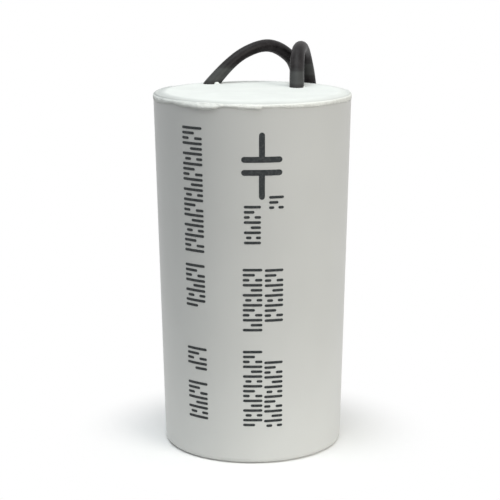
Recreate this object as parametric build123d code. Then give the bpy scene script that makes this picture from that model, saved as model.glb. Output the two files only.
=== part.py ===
from build123d import *
from math import cos, radians, sin, tan
import os

# Potted film capacitor for a fan motor, standing on its closed end.
# Origin: centre of the base. +Z runs up to the filled end, -Y is the printed front.
# Every size is in millimetres.

# Moulded can, a cup with draft on its wall
can_top_diameter = 30.0
can_base_diameter = 27.5
can_height = 54.4
can_wall = 1.1
can_floor = 1.2
base_edge_radius = 0.8
rim_edge_radius = 0.35
inner_floor_radius = 1.0
foot_width = 2.2
foot_recess_depth = 0.4
gate_mark_diameter = 1.8
gate_mark_height = 0.25

# Cast resin, poured to the rim, crowned, and rolled off to a thin lip on the rim
resin_edge_height = 0.33
resin_edge_width = 1.6
resin_crown_rise = 0.1
resin_lip_height = 0.12
resin_lip_radius = 0.1
rim_cover_margin = 0.03

# Resin that ran over the rim: angle about +Z in degrees from +X, half the height of the
# run and its reach past the can's side. 270 is the middle of the front. The lobes at the
# front left end abruptly, and a thin cover goes on round the right.
overflow_lobes = [
    (150.0, 0.52, 0.02),
    (163.0, 0.57, 0.03),
    (176.0, 0.58, 0.05),
    (190.0, 0.64, 0.07),
    (201.0, 0.66, 0.09),
    (209.0, 0.58, 0.09),
    (218.0, 0.45, 0.06),
    (226.0, 0.54, 0.12),
    (233.0, 0.55, 0.13),
    (240.0, 0.62, 0.18),
    (247.5, 0.56, 0.17),
    (253.0, 0.42, 0.07),
    (259.0, 0.43, 0.07),
    (267.0, 0.50, 0.12),
    (274.0, 0.54, 0.17),
]
overflow_cover = [
    (271.0, 0.53, 0.03),
    (282.0, 0.52, 0.04),
    (300.0, 0.57, 0.05),
    (318.0, 0.58, 0.05),
    (335.0, 0.60, 0.06),
    (352.0, 0.63, 0.04),
    (368.0, 0.56, 0.02),
]
overflow_half_width = 0.5
overflow_top_height = 0.22

# Resin that climbs each lead in a hollow curve
meniscus_height = 0.15
meniscus_width = 0.4
meniscus_neck = 0.08
meniscus_foot_sink = 0.1
meniscus_root = 1.2

# Wound element
core_diameter = 6.0
core_wall = 1.0
wrap_thickness = 0.3
spray_thickness = 0.5
gap_below_element = 4.5
gap_above_element = 7.0

# Leads
lead_diameter = 2.1
conductor_diameter = 1.0
channel_clearance = 0.25
lead_floor_clearance = 0.4
stripped_tip_length = 7.0
strip_margin = 0.7
lead_overlap = 2.5
potted_bend_limit = 6.0

# Where each lead leaves the resin: angle about +Z in degrees from +X, and distance
# of its middle from the can's inner wall
left_exit_angle = 124.7
left_exit_wall_gap = 2.58
right_exit_angle = 28.8
right_exit_wall_gap = 6.02
rear_clearance = 3.0

# Solder joints on the metal-sprayed ends
solder_radius = 1.9
solder_height = 1.45

rim_z = can_height
top_radius = can_top_diameter / 2
base_radius = can_base_diameter / 2
lead_radius = lead_diameter / 2
conductor_radius = conductor_diameter / 2


def wall_radius(z):
    """Outer radius of the can at a height."""
    return base_radius + (top_radius - base_radius) * z / can_height


def inner_radius(z):
    """Inner radius of the can at a height."""
    return wall_radius(z) - can_wall


element_bottom = can_floor + gap_below_element
element_top = can_height - gap_above_element
winding_bottom = element_bottom + spray_thickness
winding_top = element_top - spray_thickness
lead_channel = lead_diameter + 2 * channel_clearance
wrap_radius = inner_radius(element_bottom) - lead_channel
winding_radius = wrap_radius - wrap_thickness
core_radius = core_diameter / 2
core_bore_radius = core_radius - core_wall
joint_radius = (core_radius + winding_radius) / 2
cover_radius = top_radius - rim_edge_radius - rim_cover_margin
crown_radius = cover_radius - resin_edge_width
resin_edge_z = rim_z + resin_edge_height
resin_top_z = resin_edge_z + resin_crown_rise


def crown_z(radius):
    """Height of the resin's crowned face at a distance from the middle."""
    return resin_top_z - resin_crown_rise * (radius / crown_radius) ** 2


def at_azimuth(angle, radius, z):
    """Point at an angle in degrees about +Z, a distance from it and a height."""
    return (radius * cos(radians(angle)), radius * sin(radians(angle)), z)


def exit_on_resin(angle, wall_gap):
    """Point on the crowned face at an angle and a distance from the can's inner wall."""
    radius = inner_radius(rim_z) - wall_gap
    return at_azimuth(angle, radius, crown_z(radius))


# Routes of the free leads: where they leave the resin, over the rear of the rim,
# down behind the can and round on the surface that it stands on.
floor_z = lead_radius
rear_y = top_radius + rear_clearance
left_exit = exit_on_resin(left_exit_angle, left_exit_wall_gap)
right_exit = exit_on_resin(right_exit_angle, right_exit_wall_gap)
left_route = [
    left_exit,
    (left_exit[0] + 2.9, left_exit[1] + 1.3, rim_z + 3.8),
    (left_exit[0] + 7.65, left_exit[1] + 3.6, rim_z + 6.15),
    (4.35, rear_y - 2.0, rim_z + 5.5),
    (7.4, rear_y + 0.7, rim_z + 2.5),
    (7.4, rear_y + 1.7, rim_z - 3.6),
    (6.9, rear_y + 0.9, 0.72 * rim_z),
    (7.0, rear_y + 0.3, 0.443 * rim_z),
    (6.6, rear_y + 0.7, 0.212 * rim_z),
    (6.3, rear_y + 3.1, 4.4),
    (5.7, rear_y + 7.8, floor_z),
    (3.4, rear_y + 13.8, floor_z),
    (-2.2, rear_y + 16.2, floor_z),
    (-7.6, rear_y + 13.4, floor_z),
    (-9.8, rear_y + 8.2, floor_z),
]
right_route = [
    right_exit,
    (right_exit[0] - 0.05, right_exit[1] + 1.5, rim_z + 3.45),
    (right_exit[0] + 0.3, right_exit[1] + 4.9, rim_z + 5.7),
    (7.9, rear_y - 5.2, rim_z + 5.85),
    (8.5, rear_y - 1.7, rim_z + 4.1),
    (9.35, rear_y - 0.1, rim_z + 0.05),
    (9.9, rear_y + 0.1, rim_z - 6.4),
    (9.35, rear_y - 0.2, 0.643 * rim_z),
    (9.5, rear_y + 0.1, 0.414 * rim_z),
    (9.2, rear_y + 0.9, 0.208 * rim_z),
    (9.0, rear_y + 3.5, 4.4),
    (8.7, rear_y + 8.5, floor_z),
    (7.7, rear_y + 15.8, floor_z),
    (2.3, rear_y + 20.8, floor_z),
    (-4.3, rear_y + 21.5, floor_z),
    (-8.5, rear_y + 18.1, floor_z),
]


def upright(profile):
    """Turn a profile of radius and height once round +Z."""
    return revolve(Plane.XZ * profile, Axis.Z)


def ring(outer, inner, bottom, height):
    """Plain ring or tube standing at a height."""
    tube = Cylinder(outer, height) - Cylinder(inner, height)
    return Pos(0, 0, bottom + height / 2) * tube


def rounded(profile, point, radius):
    """Round the corner of a profile that lies nearest to a point."""
    corner = profile.vertices().sort_by_distance((point[0], point[1], 0))[0]
    return fillet([corner], radius)


def cavity(top):
    """Space inside the can, from its floor up to a height, with its rounded floor corner."""
    outline = [(0, can_floor), (inner_radius(can_floor), can_floor), (inner_radius(top), top), (0, top)]
    profile = make_face(Polyline(*outline, close=True))
    profile = rounded(profile, outline[1], inner_floor_radius)
    return upright(profile)


def make_can():
    foot_inner = base_radius - base_edge_radius - foot_width
    recess_edge = foot_inner - foot_recess_depth
    outline = [
        (0, foot_recess_depth),
        (recess_edge, foot_recess_depth),
        (foot_inner, 0),
        (base_radius, 0),
        (top_radius, rim_z),
        (0, rim_z),
    ]
    profile = make_face(Polyline(*outline, close=True))
    profile = rounded(profile, (base_radius, 0), base_edge_radius)
    profile = rounded(profile, (top_radius, rim_z), rim_edge_radius)
    cup = upright(profile) - cavity(rim_z)
    mark_height = gate_mark_height + can_floor / 2
    mark_bottom = foot_recess_depth - gate_mark_height
    gate_mark = Pos(0, 0, mark_bottom + mark_height / 2) * Cylinder(gate_mark_diameter / 2, mark_height)
    return cup + gate_mark


def resin_overflow(runs):
    """Run of resin along the rim, thick and thin by turns."""
    sections = []
    for angle, half_height, reach in runs:
        middle = Pos(top_radius + reach - overflow_half_width, rim_z + overflow_top_height - half_height)
        oval = Ellipse(overflow_half_width, half_height)
        sections.append(Rot(0, 0, angle) * (Plane.XZ * (middle * oval)))
    return loft(sections)


def meniscus(exit_point):
    """Low collar of resin that climbs a lead where it comes out, with a root in the resin."""
    foot = lead_radius + meniscus_width
    neck = lead_radius + meniscus_neck
    with BuildSketch() as outline:
        with BuildLine():
            slope = TangentArc((neck, meniscus_height), (foot, -meniscus_foot_sink), tangent=(0, -1))
            Polyline(
                slope @ 1,
                (foot, -meniscus_root),
                (0, -meniscus_root),
                (0, meniscus_height),
                slope @ 0,
            )
        make_face()
    return Pos(*exit_point) * upright(outline.sketch)


def resin_envelope(can):
    """Everything inside the outer skin of the cast resin."""
    lip_z = rim_z + resin_lip_height
    with BuildSketch() as outline:
        with BuildLine():
            crown = TangentArc((0, resin_top_z), (crown_radius, resin_edge_z), tangent=(1, 0))
            roll = TangentArc(crown @ 1, (cover_radius, lip_z), tangent=crown % 1)
            Polyline(
                roll @ 1,
                (cover_radius, rim_z),
                (inner_radius(rim_z), rim_z),
                (inner_radius(can_floor), can_floor),
                (0, can_floor),
                crown @ 0,
            )
        make_face()
    profile = rounded(outline.sketch, (cover_radius, lip_z), resin_lip_radius)
    profile = rounded(profile, (inner_radius(can_floor), can_floor), inner_floor_radius)
    envelope = upright(profile)
    for runs in (overflow_lobes, overflow_cover):
        envelope += resin_overflow(runs) - can
    for exit_point in (left_exit, right_exit):
        envelope += meniscus(exit_point) - can
    return envelope


def corner_radii(points, limit=None):
    """Radius of each arc: 0.45 of the shorter run over the tangent of half the turn."""
    radii = []
    for before, corner, after in zip(points, points[1:], points[2:]):
        first = Vector(*corner) - Vector(*before)
        second = Vector(*after) - Vector(*corner)
        shorter = min(first.length, second.length)
        radius = 0.45 * shorter / tan(radians(first.get_angle(second)) / 2)
        radii.append(radius if limit is None else min(radius, limit))
    return radii


def wire(points, radius, limit=None):
    """Round bar along straight runs joined by tangent arcs."""
    path = FilletPolyline(*points, radius=corner_radii(points, limit))
    section = Plane(origin=path @ 0, z_dir=path % 0) * Circle(radius)
    return sweep(section, path=path), path


def backed_up(route, distance):
    """Route with its start drawn back along its first run, into the resin."""
    start = Vector(*route[0])
    heading = (Vector(*route[1]) - start).normalized()
    return [tuple(start - heading * distance)] + list(route[1:])


def free_lead(name, route, envelope):
    """Insulated lead from the resin's face to its stripped end, and its stripped tip."""
    whole, path = wire(backed_up(route, lead_overlap), lead_radius)
    lead = (whole - envelope).solids().sort_by(SortBy.VOLUME)[-1]
    end = path @ 1
    heading = path % 1
    tip = Plane(origin=end, z_dir=heading) * Pos(0, 0, stripped_tip_length / 2)
    tip = tip * Cylinder(conductor_radius, stripped_tip_length)
    radii = ", ".join(f"{radius:.1f}" for radius in corner_radii(backed_up(route, lead_overlap)))
    section_by_length = Circle(lead_radius).area * path.length
    free_length = path.length - lead_overlap + stripped_tip_length
    print(f"{name}: arc radii {radii} mm")
    print(f"{name}: length with its tip {free_length:.1f} mm")
    print(f"{name}: volume {whole.volume:.1f}, section by length {section_by_length:.1f} mm3")
    return lead, tip


def start_above(route):
    """Point just past the resin's face and the point a little below it, on the lead's first run."""
    start = Vector(*route[0])
    heading = (Vector(*route[1]) - start).normalized()
    return tuple(start + heading * lead_overlap), tuple(start - heading * lead_diameter)


def potted_lead(points, strip_point, envelope):
    """Insulation and conductor of the stretch that is cast in."""
    conductor, _ = wire(points, conductor_radius, potted_bend_limit)
    insulated = [point for point in points[: points.index(strip_point) + 1]]
    sleeve, _ = wire(insulated, lead_radius, potted_bend_limit)
    conductor = conductor & envelope
    insulation = (sleeve & envelope) - conductor
    return insulation, conductor


def long_potted_lead(envelope):
    """Left lead: down beside the element and in under its lower end."""
    above, below = start_above(left_route)
    channel_radius = wrap_radius + lead_channel / 2
    dip_z = can_floor + lead_radius + lead_floor_clearance
    strip_radius = joint_radius + solder_radius + strip_margin
    strip_point = at_azimuth(left_exit_angle, strip_radius, dip_z)
    points = [
        above,
        below,
        at_azimuth(left_exit_angle, channel_radius, element_top),
        at_azimuth(left_exit_angle, channel_radius, dip_z),
        strip_point,
        at_azimuth(left_exit_angle, joint_radius, element_bottom - conductor_radius),
    ]
    return potted_lead(points, strip_point, envelope)


def short_potted_lead(envelope):
    """Right lead: straight down to the upper end of the element."""
    above, below = start_above(right_route)
    reach = inner_radius(rim_z) - right_exit_wall_gap
    turn_z = element_top + gap_above_element / 2
    strip_radius = (reach + joint_radius) / 2
    strip_z = element_top + solder_height + strip_margin
    strip_point = at_azimuth(right_exit_angle, strip_radius, strip_z)
    points = [
        above,
        at_azimuth(right_exit_angle, reach, turn_z),
        strip_point,
        at_azimuth(right_exit_angle, joint_radius, element_top + conductor_radius),
    ]
    return potted_lead(points, strip_point, envelope)


def solder_joint(angle, face_z, side, conductor):
    """Dome of solder on a sprayed end, round the end of the conductor."""
    with BuildSketch() as dome:
        with BuildLine():
            TangentArc((0, solder_height), (solder_radius, 0), tangent=(1, 0))
            Polyline((solder_radius, 0), (0, 0), (0, solder_height))
        make_face()
    turned = Rot(0, 0, 0) if side > 0 else Rot(180, 0, 0)
    place = Pos(*at_azimuth(angle, joint_radius, face_z))
    return place * turned * upright(dome.sketch) - conductor


def main():
    can = make_can()
    envelope = resin_envelope(can)
    winding_length = winding_top - winding_bottom
    parts = {
        "can": can,
        "film_winding": ring(winding_radius, core_radius, winding_bottom, winding_length),
        "core_tube": ring(core_radius, core_bore_radius, winding_bottom, winding_length),
        "winding_wrap": ring(wrap_radius, winding_radius, winding_bottom, winding_length),
        "bottom_end_spray": ring(winding_radius, core_bore_radius, element_bottom, spray_thickness),
        "top_end_spray": ring(winding_radius, core_bore_radius, winding_top, spray_thickness),
    }
    left_insulation, left_conductor = long_potted_lead(envelope)
    right_insulation, right_conductor = short_potted_lead(envelope)
    parts["left_potted_insulation"] = left_insulation
    parts["left_conductor"] = left_conductor
    parts["right_potted_insulation"] = right_insulation
    parts["right_conductor"] = right_conductor
    parts["bottom_solder_joint"] = solder_joint(left_exit_angle, element_bottom, -1, left_conductor)
    parts["top_solder_joint"] = solder_joint(right_exit_angle, element_top, 1, right_conductor)
    resin = envelope
    for name, part in parts.items():
        if name != "can":
            resin = resin - part
    parts["potting_resin"] = resin
    parts["left_lead"], parts["left_tinned_tip"] = free_lead("left_lead", left_route, envelope)
    parts["right_lead"], parts["right_tinned_tip"] = free_lead("right_lead", right_route, envelope)
    os.makedirs("parts", exist_ok=True)
    for name, part in parts.items():
        export_step(part, f"parts/{name}.step")


main()
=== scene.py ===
"""Looks of a potted fan capacitor: finishes, leads, printed marks and a pale studio stage."""

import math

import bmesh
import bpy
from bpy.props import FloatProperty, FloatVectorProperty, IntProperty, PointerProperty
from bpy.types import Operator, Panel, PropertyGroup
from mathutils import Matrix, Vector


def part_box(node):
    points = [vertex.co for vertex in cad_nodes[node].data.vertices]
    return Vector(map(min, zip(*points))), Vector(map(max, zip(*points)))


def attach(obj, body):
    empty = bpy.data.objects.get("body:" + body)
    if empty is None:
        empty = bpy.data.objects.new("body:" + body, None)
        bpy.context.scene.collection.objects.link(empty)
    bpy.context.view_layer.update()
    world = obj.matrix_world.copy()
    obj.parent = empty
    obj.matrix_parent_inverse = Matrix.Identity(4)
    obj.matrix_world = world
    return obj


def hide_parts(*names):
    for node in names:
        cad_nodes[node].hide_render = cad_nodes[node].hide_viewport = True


bl_info = {
    "name": "Fan capacitor looks",
    "version": (1, 0, 0),
    "blender": (4, 5, 0),
    "location": "View3D > Sidebar > Capacitor",
    "description": "Finishes, leads, printed marks and stage of a potted fan capacitor",
    "category": "Object",
}

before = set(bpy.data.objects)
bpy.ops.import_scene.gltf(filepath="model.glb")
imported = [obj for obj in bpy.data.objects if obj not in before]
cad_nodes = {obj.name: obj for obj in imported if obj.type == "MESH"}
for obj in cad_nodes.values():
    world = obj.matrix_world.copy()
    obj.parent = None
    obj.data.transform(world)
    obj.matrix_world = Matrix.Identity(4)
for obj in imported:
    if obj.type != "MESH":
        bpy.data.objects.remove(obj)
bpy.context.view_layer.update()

MM = 0.001
CENTRE = Vector((0, 0, 0))
UP = Vector((0, 0, 1))

# The can's own sizes, read from the frame. Its side leans out by the draft from base to rim.
can_low, can_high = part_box("can")
RIM_RADIUS = (can_high.x - can_low.x) / 2
RIM_Z = can_high.z
SIDE_DRAFT = 1.25 * MM

# Routes of the free leads in millimetres: the part's own points, with each foot set into the resin.
# Each exit is the point where the lead leaves the resin's face.
LEFT_EXIT = (-6.444, 9.307, 54.754)
LEFT_ROUTE = [
    (-6.8, 9.0, 54.2),
    (-3.544, 10.607, 58.2),
    (1.206, 12.907, 60.55),
    (4.35, 16.0, 59.9),
    (7.4, 18.7, 56.9),
    (7.4, 19.7, 50.8),
    (6.9, 18.9, 39.168),
    (7.0, 18.3, 24.099),
    (6.6, 18.7, 11.533),
    (6.3, 21.1, 4.4),
    (5.7, 25.8, 1.05),
    (3.4, 31.8, 1.05),
    (-2.2, 34.2, 1.05),
    (-7.6, 31.4, 1.05),
    (-9.8, 26.2, 1.05),
]
RIGHT_EXIT = (6.905, 3.796, 54.793)
RIGHT_ROUTE = [
    (6.83, 3.3, 54.2),
    (6.855, 5.296, 57.85),
    (7.205, 8.696, 60.1),
    (7.9, 12.8, 60.25),
    (8.5, 16.3, 58.5),
    (9.35, 17.9, 54.45),
    (9.9, 18.1, 48.0),
    (9.35, 17.8, 34.979),
    (9.5, 18.1, 22.522),
    (9.2, 18.9, 11.315),
    (9.0, 21.5, 4.4),
    (8.7, 26.5, 1.05),
    (7.7, 33.8, 1.05),
    (2.3, 38.8, 1.05),
    (-4.3, 39.5, 1.05),
    (-8.5, 36.1, 1.05),
]
# From the resin's face to the end of the stripped tip
LEFT_LENGTH = 108.2 * MM
RIGHT_LENGTH = 108.9 * MM
# Where a lead is drawn thinner or stouter: number of the route's point and share of the diameter
LEFT_STRETCH = {0: 1.08, 1: 0.86, 2: 0.91}
RIGHT_STRETCH = {0: 1.07, 1: 1.07, 2: 1.04}

# Bead of resin that ran over the rim: angle from the front in degrees, how far it hangs below
# the rim and how far it stands out from the can, in millimetres
RIM_BEAD = [
    (-124, 0.3, 0.02),
    (-100, 0.55, 0.05),
    (-80, 0.8, 0.07),
    (-69, 0.87, 0.1),
    (-63, 0.75, 0.1),
    (-56.6, 0.65, 0.12),
    (-51, 0.47, 0.11),
    (-46.3, 0.61, 0.16),
    (-43, 0.73, 0.2),
    (-38, 0.72, 0.22),
    (-32.7, 0.86, 0.3),
    (-29, 0.9, 0.34),
    (-25, 0.84, 0.34),
    (-21, 0.76, 0.3),
    (-18.8, 0.55, 0.19),
    (-16, 0.38, 0.13),
    (-10.7, 0.44, 0.15),
    (-6.7, 0.51, 0.18),
    (-2.4, 0.61, 0.22),
    (1, 0.67, 0.26),
    (4.4, 0.72, 0.27),
    (5.4, 0.47, 0.12),
    (13.3, 0.5, 0.1),
    (24, 0.64, 0.12),
    (34, 0.68, 0.13),
    (40, 0.7, 0.12),
    (45.5, 0.64, 0.11),
    (55, 0.66, 0.1),
    (68.6, 0.8, 0.08),
    (85, 0.7, 0.06),
    (104, 0.4, 0.02),
]
# Section of the bead from its top down: share of its reach, or where that is negative a depth
# into the can in millimetres, and share of its hang
BEAD_SECTION = [
    (-0.3, 0.02),
    (0.0, 0.04),
    (0.42, 0.12),
    (0.76, 0.3),
    (1.0, 0.6),
    (0.9, 0.84),
    (0.5, 0.97),
    (-0.3, 1.0),
]
BEAD_STEPS = 460

# Drop of resin at the foot of the left lead, in millimetres: its place and half its sizes
DROP_PLACE = (-5.6, 8.5, 54.84)
DROP_HALF_SIZES = (0.46, 0.4, 0.26)

# Printed marks: rows of plain bars that run up the can. Each row has the angle of its middle from
# the front in degrees, then how far its bars reach round the can and the top and bottom of each of
# its stretches, in millimetres.
MARK_ROWS = [
    (-36.4, 3.6, [(51.1, 31.7), (30.6, 23.2), (17.8, 13.6), (12.4, 5.8)]),
    (12.5, 2.8, [(30.4, 21.7), (16.3, 5.3)]),
    (-0.2, 2.9, [(30.5, 20.3), (18.0, 5.4)]),
    (-0.2, 2.5, [(39.9, 33.2)]),
    (13.6, 2.2, [(41.3, 38.3)]),
]
# Bars of a row by turns, each as its runs across the row from -1 to 1
BAR_RUNS = (
    [(-1.0, 1.0)],
    [(-1.0, 0.25)],
    [(-1.0, -0.3), (0.25, 1.0)],
    [(-1.0, 1.0)],
    [(-0.2, 1.0)],
    [(-1.0, 1.0)],
    [(-0.75, -0.1), (0.4, 1.0)],
)

# Two-plate symbol: the angle of its middle from the front in degrees, and its sizes
SYMBOL_ANGLE = 5.2
SYMBOL_TOP = 50.4 * MM
SYMBOL_BOTTOM = 40.6 * MM
SYMBOL_WIDTH = 6.0 * MM
SYMBOL_STROKE = 0.86 * MM
PLATE_GAP = 1.9 * MM

# From the middle of the floor to its edges, in metres
FLOOR_REACH = 4.0


def linear(hex_colour):
    """Linear colour with alpha from an sRGB hex value."""
    digits = hex_colour.lstrip("#")
    values = [int(digits[i:i + 2], 16) / 255 for i in (0, 2, 4)]
    turned = [v / 12.92 if v <= 0.04045 else ((v + 0.055) / 1.055) ** 2.4 for v in values]
    return (*turned, 1.0)


def per_mm(size):
    """Texture scale at which one step of a pattern is so many millimetres long."""
    return 1 / (size * MM)


def side_radius(height):
    """Outer radius of the can at a height."""
    return RIM_RADIUS - SIDE_DRAFT * (1 - height / RIM_Z)


def on_side(angle, height, proud=0.0):
    """Point on the can's side at an angle in degrees from the front, standing proud of it."""
    radius = side_radius(height) + proud
    turn = math.radians(angle)
    return Vector((radius * math.sin(turn), -radius * math.cos(turn), height))


class CapacitorStage(PropertyGroup):
    """Camera, lamps and floor."""

    camera_elevation: FloatProperty(
        name="Camera elevation",
        description="Angle at which the camera looks down on the can",
        default=math.radians(12.4),
        subtype="ANGLE",
    )
    camera_distance: FloatProperty(
        name="Camera distance",
        description="From the camera to the point that it looks at",
        default=241.8 * MM,
        unit="LENGTH",
    )
    camera_aim: FloatProperty(
        name="Aim height",
        description="Height of the point that the camera looks at",
        default=29.96 * MM,
        unit="LENGTH",
    )
    camera_side: FloatProperty(
        name="Side step",
        description="How far the camera and its aim stand to the right of the middle",
        default=-0.407 * MM,
        unit="LENGTH",
    )
    camera_roll: FloatProperty(
        name="Roll",
        description="Turn of the camera about its own line of sight",
        default=math.radians(-0.12),
        subtype="ANGLE",
    )
    lens: FloatProperty(
        name="Lens",
        description="Focal length in millimetres on a 36 mm sensor",
        default=112.34,
        min=1,
    )
    ambient: FloatProperty(
        name="Ambient light",
        description="Strength of the even light from all round",
        default=0.22,
        min=0,
    )
    key_power: FloatProperty(
        name="Key lamp",
        description="Power of the large soft lamp at the right front",
        default=1.36,
        min=0,
        unit="POWER",
    )
    left_power: FloatProperty(
        name="Left lamp",
        description="Power of the soft fill lamp at the left",
        default=0.18,
        min=0,
        unit="POWER",
    )
    top_power: FloatProperty(
        name="Top lamp",
        description="Power of the soft lamp overhead",
        default=2.55,
        min=0,
        unit="POWER",
    )
    floor_colour: FloatVectorProperty(
        name="Floor",
        description="Colour of the pale floor",
        default=linear("#e6e6e4")[:3],
        size=3,
        subtype="COLOR",
        min=0,
        max=1,
    )


class CapacitorFinish(PropertyGroup):
    """Colours of the pieces that show."""

    can_colour: FloatVectorProperty(
        name="Can",
        description="Moulded plastic of the can",
        default=linear("#dedfdd")[:3],
        size=3,
        subtype="COLOR",
        min=0,
        max=1,
    )
    resin_colour: FloatVectorProperty(
        name="Resin",
        description="Cast resin that fills the can",
        default=linear("#f0f3f0")[:3],
        size=3,
        subtype="COLOR",
        min=0,
        max=1,
    )
    lead_colour: FloatVectorProperty(
        name="Lead insulation",
        description="Extruded insulation of the leads",
        default=linear("#151213")[:3],
        size=3,
        subtype="COLOR",
        min=0,
        max=1,
    )
    ink_colour: FloatVectorProperty(
        name="Ink",
        description="Ink of the printed marks",
        default=linear("#1c2224")[:3],
        size=3,
        subtype="COLOR",
        min=0,
        max=1,
    )


class CapacitorLeads(PropertyGroup):
    """Sizes of the leads and their stripped ends."""

    diameter: FloatProperty(
        name="Lead diameter",
        description="Across the insulation",
        default=2.1 * MM,
        unit="LENGTH",
    )
    tip_diameter: FloatProperty(
        name="Tip diameter",
        description="Across the tinned strands",
        default=1.0 * MM,
        unit="LENGTH",
    )
    tip_length: FloatProperty(
        name="Tip length",
        description="Stripped length at the end of each lead",
        default=7.0 * MM,
        unit="LENGTH",
    )
    strand_count: IntProperty(
        name="Outer strands",
        description="Strands that show round a tip",
        default=6,
        min=3,
        max=12,
    )


class CapacitorMarks(PropertyGroup):
    """Sizes of the printed marks."""

    bar_width: FloatProperty(
        name="Bar width",
        description="Width of one printed bar",
        default=0.4 * MM,
        unit="LENGTH",
    )
    bar_pitch: FloatProperty(
        name="Bar pitch",
        description="From one printed bar to the next",
        default=0.76 * MM,
        unit="LENGTH",
    )
    ink_height: FloatProperty(
        name="Ink height",
        description="How far the dried ink stands proud of the plastic",
        default=0.03 * MM,
        unit="LENGTH",
    )


def new_material(name, colour, roughness, ior, metallic=0.0):
    """Material with the shader's plain settings. Returns it, its node tree and the shader."""
    material = bpy.data.materials.new(name)
    material.use_nodes = True
    tree = material.node_tree
    shader = tree.nodes["Principled BSDF"]
    shader.inputs["Base Color"].default_value = (*colour[:3], 1.0)
    shader.inputs["Roughness"].default_value = roughness
    shader.inputs["IOR"].default_value = ior
    shader.inputs["Metallic"].default_value = metallic
    material.diffuse_color = (*colour[:3], 1.0)
    return material, tree, shader


def add_node(tree, kind, inputs=None, **settings):
    """Node with its settings, whose inputs are values or the sockets that feed them."""
    node = tree.nodes.new(kind)
    for name, value in settings.items():
        setattr(node, name, value)
    for key, value in (inputs or {}).items():
        if isinstance(value, bpy.types.NodeSocket):
            tree.links.new(value, node.inputs[key])
        else:
            node.inputs[key].default_value = value
    return node


def set_finish(name, material):
    """Give a carried-over CAD node its material."""
    slots = cad_nodes[name].data.materials
    slots.clear()
    slots.append(material)


def moulded_polypropylene(colour):
    """Moulded polypropylene: off-white and waxy, with a fine mould texture and a soft sheen."""
    material, tree, shader = new_material("moulded_polypropylene", colour, 0.42, 1.49)
    coords = add_node(tree, "ShaderNodeTexCoord").outputs["Object"]
    # Faint clouds where the melt flowed, which also dull the sheen
    cloud = add_node(
        tree,
        "ShaderNodeTexNoise",
        {"Vector": coords, "Scale": per_mm(14.0), "Detail": 2.0, "Roughness": 0.45},
    )
    tone = add_node(tree, "ShaderNodeValToRGB", {"Fac": cloud.outputs["Fac"]})
    tone.color_ramp.elements[0].position = 0.32
    tone.color_ramp.elements[0].color = (*[c * 0.955 for c in colour[:3]], 1.0)
    tone.color_ramp.elements[1].position = 0.68
    tone.color_ramp.elements[1].color = (*colour[:3], 1.0)
    tree.links.new(tone.outputs["Color"], shader.inputs["Base Color"])
    sheen = add_node(
        tree,
        "ShaderNodeMapRange",
        {"Value": cloud.outputs["Fac"], "To Min": 0.38, "To Max": 0.5},
    )
    tree.links.new(sheen.outputs["Result"], shader.inputs["Roughness"])
    # The texture that the mould leaves is too fine to show, so it is drawn coarser
    grain = add_node(
        tree,
        "ShaderNodeTexNoise",
        {"Vector": coords, "Scale": per_mm(0.35), "Detail": 3.0, "Roughness": 0.55},
    )
    bump = add_node(
        tree,
        "ShaderNodeBump",
        {"Height": grain.outputs["Fac"], "Strength": 0.12, "Distance": 0.05 * MM},
    )
    tree.links.new(bump.outputs["Normal"], shader.inputs["Normal"])
    return material


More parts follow.
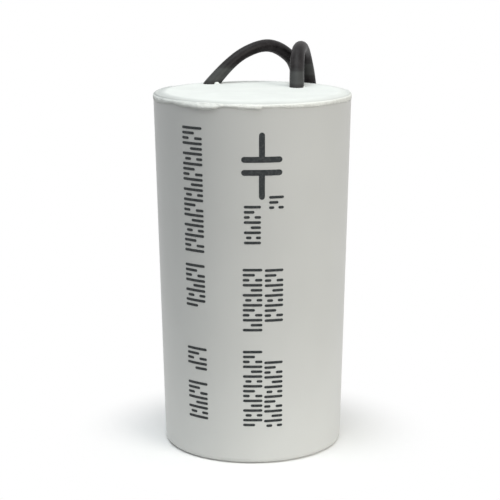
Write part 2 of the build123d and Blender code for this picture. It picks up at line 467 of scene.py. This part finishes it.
def cast_resin(colour):
    """Cast filled resin: bright white, with ripples, a rolled-off edge greyed by painted shade and a
    lumpy run at the rim lightened by a painted highlight.
    """
    material, tree, shader = new_material("cast_resin", colour, 0.6, 1.54)
    shader.inputs["Specular IOR Level"].default_value = 0.1
    coords = add_node(tree, "ShaderNodeTexCoord").outputs["Object"]
    place = add_node(tree, "ShaderNodeSeparateXYZ", {0: coords})
    level = add_node(
        tree,
        "ShaderNodeVectorMath",
        {0: coords, 1: (1.0, 1.0, 0.0)},
        operation="MULTIPLY",
    )
    away = add_node(tree, "ShaderNodeVectorMath", {0: level.outputs["Vector"]}, operation="LENGTH")
    # Faint clouds in the filler
    cloud = add_node(
        tree,
        "ShaderNodeTexNoise",
        {"Vector": coords, "Scale": per_mm(5.0), "Detail": 3.0, "Roughness": 0.5},
    )
    tone = add_node(tree, "ShaderNodeValToRGB", {"Fac": cloud.outputs["Fac"]})
    tone.color_ramp.elements[0].position = 0.3
    tone.color_ramp.elements[0].color = (*[c * 0.94 for c in colour[:3]], 1.0)
    tone.color_ramp.elements[1].position = 0.62
    tone.color_ramp.elements[1].color = (*colour[:3], 1.0)
    # The run over the rim, painted lighter as a painted highlight where it would catch the top light,
    # and lumpy
    rim = add_node(
        tree,
        "ShaderNodeMapRange",
        {
            "Value": away.outputs["Value"],
            "From Min": RIM_RADIUS - 0.09 * MM,
            "From Max": RIM_RADIUS,
        },
    )
    # The rolled-off edge inside the rim, greyed by painted shade that darkens towards the rim and most
    # towards the left, away from the key lamp; its fall is also deeper towards the left
    left_side = add_node(
        tree,
        "ShaderNodeMapRange",
        {
            "Value": place.outputs["X"],
            "From Min": -13 * MM,
            "From Max": 2 * MM,
            "To Min": 1.0,
            "To Max": 0.55,
        },
    )
    across = add_node(
        tree,
        "ShaderNodeMapRange",
        {"Value": away.outputs["Value"], "From Min": 13.0 * MM, "From Max": RIM_RADIUS},
    )
    # Painted shade across the rolled-off edge, darkest in a grey line just inside the rim
    edge = add_node(tree, "ShaderNodeValToRGB", {"Fac": across.outputs["Result"]})
    for position, grey in ((0.5, 0.8), (0.84, 0.72), (0.93, 0.6)):
        edge.color_ramp.elements.new(position).color = (grey, grey, grey, 1.0)
    edge.color_ramp.elements[0].color = (1.0, 1.0, 1.0, 1.0)
    edge_shaded = add_node(
        tree,
        "ShaderNodeMix",
        {"Factor": left_side.outputs["Result"], "A": tone.outputs["Color"], "B": edge.outputs["Color"]},
        data_type="RGBA",
        blend_type="MULTIPLY",
    )
    # Painted shade on the rolled-off edge, then the painted highlight on the run over the rim
    shade = add_node(
        tree,
        "ShaderNodeMix",
        {"Factor": rim.outputs["Result"], "A": edge_shaded.outputs["Result"], "B": linear("#f6f8f4")},
        data_type="RGBA",
    )
    tree.links.new(shade.outputs["Result"], shader.inputs["Base Color"])
    # Flow ripples, the lumps of the run and the fall of the rolled-off edge
    ripple = add_node(
        tree,
        "ShaderNodeTexNoise",
        {"Vector": coords, "Scale": per_mm(1.6), "Detail": 2.0, "Roughness": 0.4},
    )
    bump = add_node(
        tree,
        "ShaderNodeBump",
        {"Height": ripple.outputs["Fac"], "Strength": 0.25, "Distance": 0.12 * MM},
    )
    lumps = add_node(
        tree,
        "ShaderNodeTexNoise",
        {"Vector": coords, "Scale": per_mm(0.9), "Detail": 3.0, "Roughness": 0.5},
    )
    lumpy = add_node(
        tree,
        "ShaderNodeBump",
        {
            "Height": lumps.outputs["Fac"],
            "Strength": rim.outputs["Result"],
            "Distance": 0.3 * MM,
            "Normal": bump.outputs["Normal"],
        },
    )
    fall = add_node(
        tree,
        "ShaderNodeMapRange",
        {
            "Value": away.outputs["Value"],
            "From Min": 12.9 * MM,
            "From Max": 14.9 * MM,
            "To Min": 1.0,
            "To Max": 0.0,
        },
        interpolation_type="SMOOTHSTEP",
    )
    rolled = add_node(
        tree,
        "ShaderNodeBump",
        {
            "Height": fall.outputs["Result"],
            "Strength": left_side.outputs["Result"],
            "Distance": 0.45 * MM,
            "Normal": lumpy.outputs["Normal"],
        },
    )
    tree.links.new(rolled.outputs["Normal"], shader.inputs["Normal"])
    return material


def extruded_pvc(colour):
    """Extruded PVC: black and semi-gloss, with fine ripple, dull scuffs and a painted reflection and
    highlight near the foot.
    """
    material, tree, shader = new_material("extruded_pvc", colour, 0.42, 1.53)
    shader.inputs["Specular IOR Level"].default_value = 0.14
    coords = add_node(tree, "ShaderNodeTexCoord").outputs["Object"]
    # Dull scuffs
    scuff = add_node(
        tree,
        "ShaderNodeTexNoise",
        {"Vector": coords, "Scale": per_mm(1.4), "Detail": 4.0, "Roughness": 0.6},
    )
    tone = add_node(tree, "ShaderNodeValToRGB", {"Fac": scuff.outputs["Fac"]})
    tone.color_ramp.elements[0].position = 0.42
    tone.color_ramp.elements[0].color = (*colour[:3], 1.0)
    tone.color_ramp.elements[1].position = 0.72
    tone.color_ramp.elements[1].color = (*[min(1.0, c * 1.9 + 0.01) for c in colour[:3]], 1.0)
    # Painted reflection of the white resin and a painted highlight lighten the lowest 3 mm or so, and
    # none where the lead enters. Its table has the height over the rim, as a share of 6 mm, and how
    # strong the painted reflection is there.
    height = add_node(tree, "ShaderNodeSeparateXYZ", {0: coords}).outputs["Z"]
    foot = add_node(
        tree,
        "ShaderNodeMapRange",
        {"Value": height, "From Min": RIM_Z, "From Max": RIM_Z + 6 * MM},
    )
    foot_reflection = add_node(tree, "ShaderNodeValToRGB", {"Fac": foot.outputs["Result"]})
    foot_reflection.color_ramp.interpolation = "EASE"
    foot_reflection.color_ramp.elements[0].color = (0.0, 0.0, 0.0, 1.0)
    foot_reflection.color_ramp.elements[1].color = (0.0, 0.0, 0.0, 1.0)
    foot_reflection.color_ramp.elements[1].position = 0.85
    reflection_steps = ((0.11, 0.3), (0.19, 0.8), (0.3, 0.7), (0.42, 0.75), (0.5, 0.2), (0.58, 0.0))
    for position, share in reflection_steps:
        foot_reflection.color_ramp.elements.new(position).color = (share, share, share, 1.0)
    # Painted reflection and highlight mixed into the lead's own colour
    reflected_tone = add_node(
        tree,
        "ShaderNodeMix",
        {"Factor": foot_reflection.outputs["Color"], "A": tone.outputs["Color"], "B": linear("#494b4a")},
        data_type="RGBA",
    )
    tree.links.new(reflected_tone.outputs["Result"], shader.inputs["Base Color"])
    sheen = add_node(
        tree,
        "ShaderNodeMapRange",
        {"Value": scuff.outputs["Fac"], "To Min": 0.34, "To Max": 0.58},
    )
    tree.links.new(sheen.outputs["Result"], shader.inputs["Roughness"])
    # The ripple that the extruder leaves is too fine to show, so it is drawn coarser
    peel = add_node(
        tree,
        "ShaderNodeTexNoise",
        {"Vector": coords, "Scale": per_mm(0.3), "Detail": 2.0, "Roughness": 0.5},
    )
    bump = add_node(
        tree,
        "ShaderNodeBump",
        {"Height": peel.outputs["Fac"], "Strength": 0.2, "Distance": 0.03 * MM},
    )
    tree.links.new(bump.outputs["Normal"], shader.inputs["Normal"])
    return material


def marking_ink(colour):
    """Jet-printed ink: dull black, with slight gaps where the plastic shows through."""
    material, tree, shader = new_material("marking_ink", colour, 0.55, 1.45)
    coords = add_node(tree, "ShaderNodeTexCoord").outputs["Object"]
    # Thin places between the drops of ink
    wear = add_node(
        tree,
        "ShaderNodeTexNoise",
        {"Vector": coords, "Scale": per_mm(0.4), "Detail": 3.0, "Roughness": 0.6},
    )
    tone = add_node(tree, "ShaderNodeValToRGB", {"Fac": wear.outputs["Fac"]})
    tone.color_ramp.elements[0].position = 0.45
    tone.color_ramp.elements[0].color = (*colour[:3], 1.0)
    tone.color_ramp.elements[1].position = 0.8
    tone.color_ramp.elements[1].color = (*[c + 0.06 for c in colour[:3]], 1.0)
    tree.links.new(tone.outputs["Color"], shader.inputs["Base Color"])
    return material


def metal_with_grain(name, colour, roughness, grain_mm, depth_mm):
    """Bare metal with a granular surface, whose grain and depth are given in millimetres."""
    material, tree, shader = new_material(name, colour, roughness, 1.5, metallic=1.0)
    coords = add_node(tree, "ShaderNodeTexCoord").outputs["Object"]
    grain = add_node(
        tree,
        "ShaderNodeTexNoise",
        {"Vector": coords, "Scale": per_mm(grain_mm), "Detail": 3.0, "Roughness": 0.6},
    )
    tone = add_node(tree, "ShaderNodeValToRGB", {"Fac": grain.outputs["Fac"]})
    tone.color_ramp.elements[0].position = 0.35
    tone.color_ramp.elements[0].color = (*[c * 0.75 for c in colour[:3]], 1.0)
    tone.color_ramp.elements[1].position = 0.65
    tone.color_ramp.elements[1].color = (*colour[:3], 1.0)
    tree.links.new(tone.outputs["Color"], shader.inputs["Base Color"])
    bump = add_node(
        tree,
        "ShaderNodeBump",
        {"Height": grain.outputs["Fac"], "Strength": 0.5, "Distance": depth_mm * MM},
    )
    tree.links.new(bump.outputs["Normal"], shader.inputs["Normal"])
    return material


def metallised_film():
    """Wound metallised film: silvery and glossy, with its turns showing as rings."""
    colour = linear("#c3c6cb")
    material, tree, shader = new_material("metallised_film", colour, 0.28, 1.5, metallic=0.6)
    coords = add_node(tree, "ShaderNodeTexCoord").outputs["Object"]
    # The film is too thin for its turns to show, so they are drawn as broader rings
    turns = add_node(
        tree,
        "ShaderNodeTexWave",
        {"Vector": coords, "Scale": per_mm(5.0), "Distortion": 0.6, "Detail": 1.0},
        wave_type="RINGS",
        rings_direction="Z",
    )
    tone = add_node(tree, "ShaderNodeValToRGB", {"Fac": turns.outputs["Fac"]})
    tone.color_ramp.elements[0].color = (*[c * 0.7 for c in colour[:3]], 1.0)
    tone.color_ramp.elements[1].color = colour
    tree.links.new(tone.outputs["Color"], shader.inputs["Base Color"])
    return material


def film_wrap():
    """Wrap of plain polyester film: clear amber, glossy and slightly creased."""
    colour = linear("#d9cfa4")
    material, tree, shader = new_material("film_wrap", colour, 0.2, 1.58)
    coords = add_node(tree, "ShaderNodeTexCoord").outputs["Object"]
    # Slight creases
    crease = add_node(
        tree,
        "ShaderNodeTexNoise",
        {"Vector": coords, "Scale": per_mm(3.0), "Detail": 2.0, "Roughness": 0.5},
    )
    bump = add_node(
        tree,
        "ShaderNodeBump",
        {"Height": crease.outputs["Fac"], "Strength": 0.3, "Distance": 0.1 * MM},
    )
    tree.links.new(bump.outputs["Normal"], shader.inputs["Normal"])
    return material


def extruded_tube():
    """Extruded polypropylene tube: milky white and dull, with faint lines along its length."""
    colour = linear("#cfcfca")
    material, tree, shader = new_material("extruded_tube", colour, 0.5, 1.49)
    coords = add_node(tree, "ShaderNodeTexCoord").outputs["Object"]
    # Lines from the extruder's die, stretched along the tube
    stretched = add_node(tree, "ShaderNodeMapping", {"Vector": coords, "Scale": (1.0, 1.0, 0.05)})
    lines = add_node(
        tree,
        "ShaderNodeTexNoise",
        {"Vector": stretched.outputs["Vector"], "Scale": per_mm(0.4), "Detail": 2.0},
    )
    bump = add_node(
        tree,
        "ShaderNodeBump",
        {"Height": lines.outputs["Fac"], "Strength": 0.2, "Distance": 0.03 * MM},
    )
    tree.links.new(bump.outputs["Normal"], shader.inputs["Normal"])
    return material


def mesh_object(name, bm, material):
    """Object with the mesh, which rides on the part."""
    mesh = bpy.data.meshes.new(name)
    bm.to_mesh(mesh)
    bm.free()
    mesh.materials.append(material)
    made = bpy.data.objects.new(name, mesh)
    bpy.context.scene.collection.objects.link(made)
    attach(made, "root")
    return made


def lead_curve(name, route, stretch, diameter, material):
    """Smooth tube along a lead's route, a spline with the route's points as its control points."""
    data = bpy.data.curves.new(name, "CURVE")
    data.dimensions = "3D"
    spline = data.splines.new("NURBS")
    spline.points.add(len(route) - 1)
    for point, place in zip(spline.points, route):
        point.co = (*[value * MM for value in place], 1.0)
    for number, share in stretch.items():
        spline.points[number].radius = share
    spline.order_u = 3
    spline.use_endpoint_u = True
    spline.use_smooth = True
    spline.resolution_u = 14
    data.bevel_depth = diameter / 2
    data.bevel_resolution = 6
    data.use_fill_caps = True
    data.materials.append(material)
    lead = bpy.data.objects.new(name, data)
    bpy.context.scene.collection.objects.link(lead)
    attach(lead, "root")
    return lead


def tinned_strands(name, route, sizes, material):
    """Stripped end of a lead: strands twisted together and tinned, with a rounded end."""
    sides_per_strand = 8
    groove = 0.13
    twists = 1.1
    steps = 26
    cap_steps = 5
    cap_closing = 0.94
    nearly = 1e-7
    quarter = math.pi / 2
    radius = sizes.tip_diameter / 2
    body = sizes.tip_length - radius
    lobes = sizes.strand_count
    bm = bmesh.new()
    made = bmesh.ops.create_circle(
        bm,
        cap_ends=False,
        radius=radius,
        segments=lobes * sides_per_strand,
    )
    for vert in made["verts"]:
        around = math.atan2(vert.co.y, vert.co.x)
        vert.co *= 1 - groove * (1 - abs(math.cos(around * lobes / 2)))
    bmesh.ops.spin(
        bm,
        geom=bm.verts[:] + bm.edges[:],
        cent=CENTRE,
        axis=UP,
        dvec=UP * body / steps,
        angle=math.tau * twists,
        steps=steps,
        use_merge=False,
        use_duplicate=False,
    )
    last = [edge for edge in bm.edges if all(v.co.z > body - nearly for v in edge.verts)]
    for step in range(1, cap_steps + 1):
        reached = (step - 1) / cap_steps
        wanted = step / cap_steps
        before = math.cos(quarter * reached * cap_closing)
        after = math.cos(quarter * wanted * cap_closing)
        rise = math.sin(quarter * wanted) - math.sin(quarter * reached)
        grown = bmesh.ops.extrude_edge_only(bm, edges=last)["geom"]
        verts = [item for item in grown if isinstance(item, bmesh.types.BMVert)]
        last = [item for item in grown if isinstance(item, bmesh.types.BMEdge)]
        last = [edge for edge in last if edge.verts[0] in verts and edge.verts[1] in verts]
        bmesh.ops.scale(bm, verts=verts, vec=(after / before, after / before, 1.0))
        bmesh.ops.translate(bm, verts=verts, vec=UP * rise * radius)
    bmesh.ops.holes_fill(bm, edges=[edge for edge in bm.edges if edge.is_boundary])
    bmesh.ops.recalc_face_normals(bm, faces=bm.faces)
    for face in bm.faces:
        face.smooth = True
    end = Vector(route[-1]) * MM
    heading = (end - Vector(route[-2]) * MM).normalized()
    place = Matrix.Translation(end) @ UP.rotation_difference(heading).to_matrix().to_4x4()
    bmesh.ops.transform(bm, matrix=place, verts=bm.verts)
    return mesh_object(name, bm, material)


def add_bar(bm, angle, height, reach, width, proud, offset=0.0, upright=False):
    """One printed bar with round ends, bent round the can's side, along its girth or upright."""
    made = bmesh.ops.create_grid(bm, x_segments=18, y_segments=2, size=1.0)
    end = min(width, reach) / 2
    for vert in made["verts"]:
        across = math.sin(vert.co.x * math.pi / 2) * reach / 2
        past = max(0.0, abs(across) - (reach / 2 - end)) / end
        along = vert.co.y * width / 2 * math.sqrt(max(0.0, 1 - past ** 2))
        if upright:
            across, along = along, across
        turn = angle + math.degrees((across + offset) / side_radius(height))
        vert.co = on_side(turn, height + along, proud)


def add_symbol(bm, proud):
    """Plain two-plate circuit symbol: two broad bars with a stem from each."""
    middle = (SYMBOL_TOP + SYMBOL_BOTTOM) / 2
    stem = (SYMBOL_TOP - SYMBOL_BOTTOM - PLATE_GAP) / 2
    for side in (1, -1):
        plate = middle + side * PLATE_GAP / 2
        add_bar(bm, SYMBOL_ANGLE, plate, SYMBOL_WIDTH, SYMBOL_STROKE, proud)
        centre = plate + side * stem / 2
        add_bar(bm, SYMBOL_ANGLE, centre, stem, SYMBOL_STROKE, proud, upright=True)


def bead_sizes(angle):
    """Hang and reach of the rim's bead at an angle, eased between the rows of its table."""
    for (low, low_hang, low_reach), (high, high_hang, high_reach) in zip(RIM_BEAD, RIM_BEAD[1:]):
        if angle <= high:
            share = max(0.0, (angle - low) / (high - low))
            share = (1 - math.cos(math.pi * share)) / 2
            hang = low_hang + (high_hang - low_hang) * share
            return hang * MM, (low_reach + (high_reach - low_reach) * share) * MM
    return RIM_BEAD[-1][1] * MM, RIM_BEAD[-1][2] * MM


def rim_bead(material):
    """Bead of resin along the rim: one section spun along the rim, then hung by its table."""
    bm = bmesh.new()
    first = math.radians(RIM_BEAD[0][0])
    last = math.radians(RIM_BEAD[-1][0])
    section = [(0, -RIM_RADIUS - out * MM, RIM_Z - down * MM) for out, down in BEAD_SECTION]
    start = [bm.verts.new(place) for place in section]
    edges = [bm.edges.new(pair) for pair in zip(start, start[1:])]
    bmesh.ops.rotate(bm, verts=start, cent=CENTRE, matrix=Matrix.Rotation(first, 3, "Z"))
    bmesh.ops.spin(
        bm,
        geom=start + edges,
        cent=CENTRE,
        axis=UP,
        angle=last - first,
        steps=BEAD_STEPS,
        use_merge=False,
        use_duplicate=False,
    )
    for vert in bm.verts:
        hang, reach = bead_sizes(math.degrees(math.atan2(vert.co.x, -vert.co.y)))
        out = math.hypot(vert.co.x, vert.co.y) - RIM_RADIUS
        height = RIM_Z - (RIM_Z - vert.co.z) / MM * hang
        radius = side_radius(height) + (out / MM * reach if out > 0 else out)
        flat = Vector((vert.co.x, vert.co.y, 0)).normalized() * radius
        vert.co = (flat.x, flat.y, height)
    bmesh.ops.recalc_face_normals(bm, faces=bm.faces)
    for face in bm.faces:
        face.smooth = True
    return mesh_object("rim_bead", bm, material)


def lead_drop(material):
    """Small drop of resin left half sunk in the face of the filling, at the left lead."""
    bm = bmesh.new()
    bmesh.ops.create_icosphere(bm, subdivisions=3, radius=1.0)
    bmesh.ops.scale(bm, verts=bm.verts, vec=[value * MM for value in DROP_HALF_SIZES])
    bmesh.ops.translate(bm, verts=bm.verts, vec=Vector(DROP_PLACE) * MM)
    for face in bm.faces:
        face.smooth = True
    return mesh_object("lead_drop", bm, material)


class CAPACITOR_OT_finish_can(Operator):
    """Give the can its moulded plastic"""

    bl_idname = "capacitor.finish_can"
    bl_label = "Finish the can"

    def execute(self, context):
        colours = context.scene.capacitor_finish
        set_finish("can", moulded_polypropylene(colours.can_colour))
        return {"FINISHED"}


class CAPACITOR_OT_finish_resin(Operator):
    """Give the filling its cast resin, the bead at the rim and the drop at the left lead"""

    bl_idname = "capacitor.finish_resin"
    bl_label = "Finish the resin"

    def execute(self, context):
        colours = context.scene.capacitor_finish
        resin = cast_resin(colours.resin_colour)
        set_finish("potting_resin", resin)
        rim_bead(resin)
        lead_drop(resin)
        return {"FINISHED"}


class CAPACITOR_OT_add_leads(Operator):
    """Lay both leads along their routes, with tinned ends"""

    bl_idname = "capacitor.add_leads"
    bl_label = "Add the leads"

    def execute(self, context):
        sizes = context.scene.capacitor_leads
        pvc = extruded_pvc(context.scene.capacitor_finish.lead_colour)
        # Copper strands dipped in tin: pale and bright, with a slightly uneven coat
        tin = metal_with_grain(
            "tinned_copper",
            linear("#b9b8b6"),
            roughness=0.34,
            grain_mm=0.35,
            depth_mm=0.02,
        )
        for side, route, stretch, place, length in (
            ("left", LEFT_ROUTE, LEFT_STRETCH, LEFT_EXIT, LEFT_LENGTH),
            ("right", RIGHT_ROUTE, RIGHT_STRETCH, RIGHT_EXIT, RIGHT_LENGTH),
        ):
            lead = lead_curve(f"{side}_pvc_lead", route, stretch, sizes.diameter, pvc)
            tip = tinned_strands(f"{side}_tinned_strands", route, sizes, tin)
            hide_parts(f"{side}_lead")
            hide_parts(f"{side}_tinned_tip")
            set_finish(f"{side}_potted_insulation", pvc)
            set_finish(f"{side}_conductor", tin)
        return {"FINISHED"}


class CAPACITOR_OT_add_marks(Operator):
    """Print plain bars and a plain two-plate symbol on the front of the can"""

    bl_idname = "capacitor.add_marks"
    bl_label = "Add the printed marks"

    def execute(self, context):
        sizes = context.scene.capacitor_marks
        bm = bmesh.new()
        for angle, reach, stretches in MARK_ROWS:
            for top, bottom in stretches:
                count = int((top - bottom) * MM / sizes.bar_pitch)
                for i in range(count):
                    height = top * MM - (i + 0.5) * sizes.bar_pitch
                    for low, high in BAR_RUNS[i % len(BAR_RUNS)]:
                        length = (high - low) / 2 * reach * MM
                        offset = (high + low) / 4 * reach * MM
                        add_bar(bm, angle, height, length, sizes.bar_width, sizes.ink_height, offset)
        add_symbol(bm, sizes.ink_height)
        bmesh.ops.recalc_face_normals(bm, faces=bm.faces)
        ink = marking_ink(context.scene.capacitor_finish.ink_colour)
        mesh_object("printed_marks", bm, ink)
        return {"FINISHED"}


class CAPACITOR_OT_finish_element(Operator):
    """Give the wound element inside its film, wrap, tube, sprayed metal and solder"""

    bl_idname = "capacitor.finish_element"
    bl_label = "Finish the wound element"

    def execute(self, context):
        # Zinc sprayed on as fine droplets: dull grey and granular, drawn coarser so that it shows
        zinc = metal_with_grain(
            "sprayed_zinc",
            linear("#9a9c9e"),
            roughness=0.62,
            grain_mm=0.25,
            depth_mm=0.06,
        )
        # Soft solder set from a melt: bright, with broad soft dimples
        solder = metal_with_grain(
            "soft_solder",
            linear("#b8b8ba"),
            roughness=0.26,
            grain_mm=0.9,
            depth_mm=0.03,
        )
        set_finish("film_winding", metallised_film())
        set_finish("winding_wrap", film_wrap())
        set_finish("core_tube", extruded_tube())
        for side in ("top", "bottom"):
            set_finish(f"{side}_end_spray", zinc)
            set_finish(f"{side}_solder_joint", solder)
        return {"FINISHED"}


def aim_at(made, place, target, roll=0.0):
    """Put a lamp or camera at a place, facing a target."""
    made.location = place
    facing = (target - place).to_track_quat("-Z", "Y").to_matrix().to_4x4()
    made.rotation_euler = (facing @ Matrix.Rotation(roll, 4, "Z")).to_euler()


def add_lamp(name, place, target, size, power, colour):
    """Square soft lamp that only lights, and isn't seen."""
    data = bpy.data.lights.new(name, "AREA")
    data.color = linear(colour)[:3]
    data.shape = "SQUARE"
    data.size = size
    data.energy = power
    lamp = bpy.data.objects.new(name, data)
    bpy.context.scene.collection.objects.link(lamp)
    aim_at(lamp, place, target)
    lamp.visible_camera = False


def seen_directly(tree):
    """Socket that is 1 for what the camera, a reflection or a clear piece shows, and 0 for light."""
    path = add_node(tree, "ShaderNodeLightPath")
    seen = add_node(
        tree,
        "ShaderNodeMath",
        {0: path.outputs["Is Camera Ray"], 1: path.outputs["Is Glossy Ray"]},
        operation="MAXIMUM",
    )
    seen = add_node(
        tree,
        "ShaderNodeMath",
        {0: seen.outputs["Value"], 1: path.outputs["Is Transmission Ray"]},
        operation="MAXIMUM",
    )
    return seen.outputs["Value"]


def floor_finish(colour):
    """Matt pale card: it keeps the soft shadow round the object, and is plain white beyond."""
    material, tree, shader = new_material("matt_card", colour, 0.9, 1.45)
    shader.inputs["Specular IOR Level"].default_value = 0.0
    coords = add_node(tree, "ShaderNodeTexCoord").outputs["Object"]
    away = add_node(tree, "ShaderNodeVectorMath", {0: coords}, operation="LENGTH")
    seen = seen_directly(tree)
    # What the floor throws back on the object, which is darker further out
    beyond = add_node(
        tree,
        "ShaderNodeMapRange",
        {"Value": away.outputs["Value"], "From Min": 30 * MM, "From Max": 80 * MM},
        interpolation_type="SMOOTHSTEP",
    )
    bounce = add_node(tree, "ShaderNodeValToRGB", {"Fac": beyond.outputs["Result"]})
    bounce.color_ramp.elements[0].color = (*colour[:3], 1.0)
    bounce.color_ramp.elements[1].color = linear("#707070")
    shown = add_node(
        tree,
        "ShaderNodeMix",
        {"Factor": seen, "A": bounce.outputs["Color"], "B": linear("#ffffff")},
        data_type="RGBA",
    )
    tree.links.new(shown.outputs["Result"], shader.inputs["Base Color"])
    # Where it is seen, the shadow near the object fades into plain white
    far = add_node(
        tree,
        "ShaderNodeMapRange",
        {"Value": away.outputs["Value"], "From Min": 13.5 * MM, "From Max": 30 * MM},
        interpolation_type="SMOOTHSTEP",
    )
    white = add_node(tree, "ShaderNodeEmission", {"Color": linear("#ffffff"), "Strength": 1.0})
    both = add_node(
        tree,
        "ShaderNodeMath",
        {0: far.outputs["Result"], 1: seen},
        operation="MULTIPLY",
    )
    mixed = add_node(
        tree,
        "ShaderNodeMixShader",
        {0: both.outputs["Value"], 1: shader.outputs["BSDF"], 2: white.outputs["Emission"]},
    )
    output = tree.nodes["Material Output"]
    tree.links.new(mixed.outputs["Shader"], output.inputs["Surface"])
    return material


class CAPACITOR_OT_set_stage(Operator):
    """Set the camera, lamps, surroundings and floor"""

    bl_idname = "capacitor.set_stage"
    bl_label = "Set the stage"

    def execute(self, context):
        values = context.scene.capacitor_stage
        scene = context.scene
        target = Vector((values.camera_side, 0, values.camera_aim))
        back = values.camera_distance * math.cos(values.camera_elevation)
        rise = values.camera_distance * math.sin(values.camera_elevation)
        data = bpy.data.cameras.new("camera")
        data.sensor_fit = "HORIZONTAL"
        data.sensor_width = 36
        data.lens = values.lens
        data.clip_start = 0.01
        camera = bpy.data.objects.new("camera", data)
        scene.collection.objects.link(camera)
        aim_at(camera, target + Vector((0, -back, rise)), target, values.camera_roll)
        scene.camera = camera
        middle = Vector((0, 0, RIM_Z / 2))
        for name, place, size, power, colour in (
            ("key_lamp", (0.36, -0.34, 0.26), 0.28, values.key_power, "#fffbf2"),
            ("left_lamp", (-0.45, -0.2, 0.25), 0.28, values.left_power, "#f2f9ff"),
            ("top_lamp", (-0.05, -0.1, 0.6), 0.45, values.top_power, "#f9feff"),
        ):
            add_lamp(name, Vector(place), middle, size, power, colour)
        bm = bmesh.new()
        bmesh.ops.create_grid(bm, x_segments=1, y_segments=1, size=FLOOR_REACH)
        mesh = bpy.data.meshes.new("floor")
        bm.to_mesh(mesh)
        bm.free()
        mesh.materials.append(floor_finish(values.floor_colour))
        floor = bpy.data.objects.new("floor", mesh)
        scene.collection.objects.link(floor)
        world = bpy.data.worlds.new("surroundings")
        world.use_nodes = True
        tree = world.node_tree
        ambient = tree.nodes["Background"]
        ambient.inputs["Color"].default_value = linear("#ffffff")
        ambient.inputs["Strength"].default_value = values.ambient
        white = add_node(tree, "ShaderNodeBackground", {"Color": linear("#ffffff"), "Strength": 1.0})
        mixed = add_node(
            tree,
            "ShaderNodeMixShader",
            {
                0: seen_directly(tree),
                1: ambient.outputs["Background"],
                2: white.outputs["Background"],
            },
        )
        tree.links.new(mixed.outputs["Shader"], tree.nodes["World Output"].inputs["Surface"])
        scene.world = world
        scene.view_settings.view_transform = "Standard"
        return {"FINISHED"}


class CAPACITOR_PT_pieces(Panel):
    """Lists the pieces and their sizes"""

    bl_idname = "CAPACITOR_PT_pieces"
    bl_label = "Fan capacitor"
    bl_space_type = "VIEW_3D"
    bl_region_type = "UI"
    bl_category = "Capacitor"

    def draw(self, context):
        for group in (
            context.scene.capacitor_finish,
            context.scene.capacitor_leads,
            context.scene.capacitor_marks,
            context.scene.capacitor_stage,
        ):
            box = self.layout.box()
            for name in group.__annotations__:
                box.prop(group, name)
        for operator in OPERATORS:
            self.layout.operator(operator.bl_idname)


GROUPS = {
    "capacitor_finish": CapacitorFinish,
    "capacitor_leads": CapacitorLeads,
    "capacitor_marks": CapacitorMarks,
    "capacitor_stage": CapacitorStage,
}
OPERATORS = (
    CAPACITOR_OT_finish_can,
    CAPACITOR_OT_finish_resin,
    CAPACITOR_OT_add_leads,
    CAPACITOR_OT_add_marks,
    CAPACITOR_OT_finish_element,
    CAPACITOR_OT_set_stage,
)
CLASSES = (*GROUPS.values(), *OPERATORS, CAPACITOR_PT_pieces)


def register():
    for made in CLASSES:
        bpy.utils.register_class(made)
    for name, group in GROUPS.items():
        setattr(bpy.types.Scene, name, PointerProperty(type=group))


def unregister():
    for name in GROUPS:
        delattr(bpy.types.Scene, name)
    for made in reversed(CLASSES):
        bpy.utils.unregister_class(made)


def main():
    register()
    bpy.ops.capacitor.set_stage()
    bpy.ops.capacitor.finish_can()
    bpy.ops.capacitor.finish_resin()
    bpy.ops.capacitor.add_leads()
    bpy.ops.capacitor.add_marks()
    bpy.ops.capacitor.finish_element()


if __name__ == "__main__":
    main()
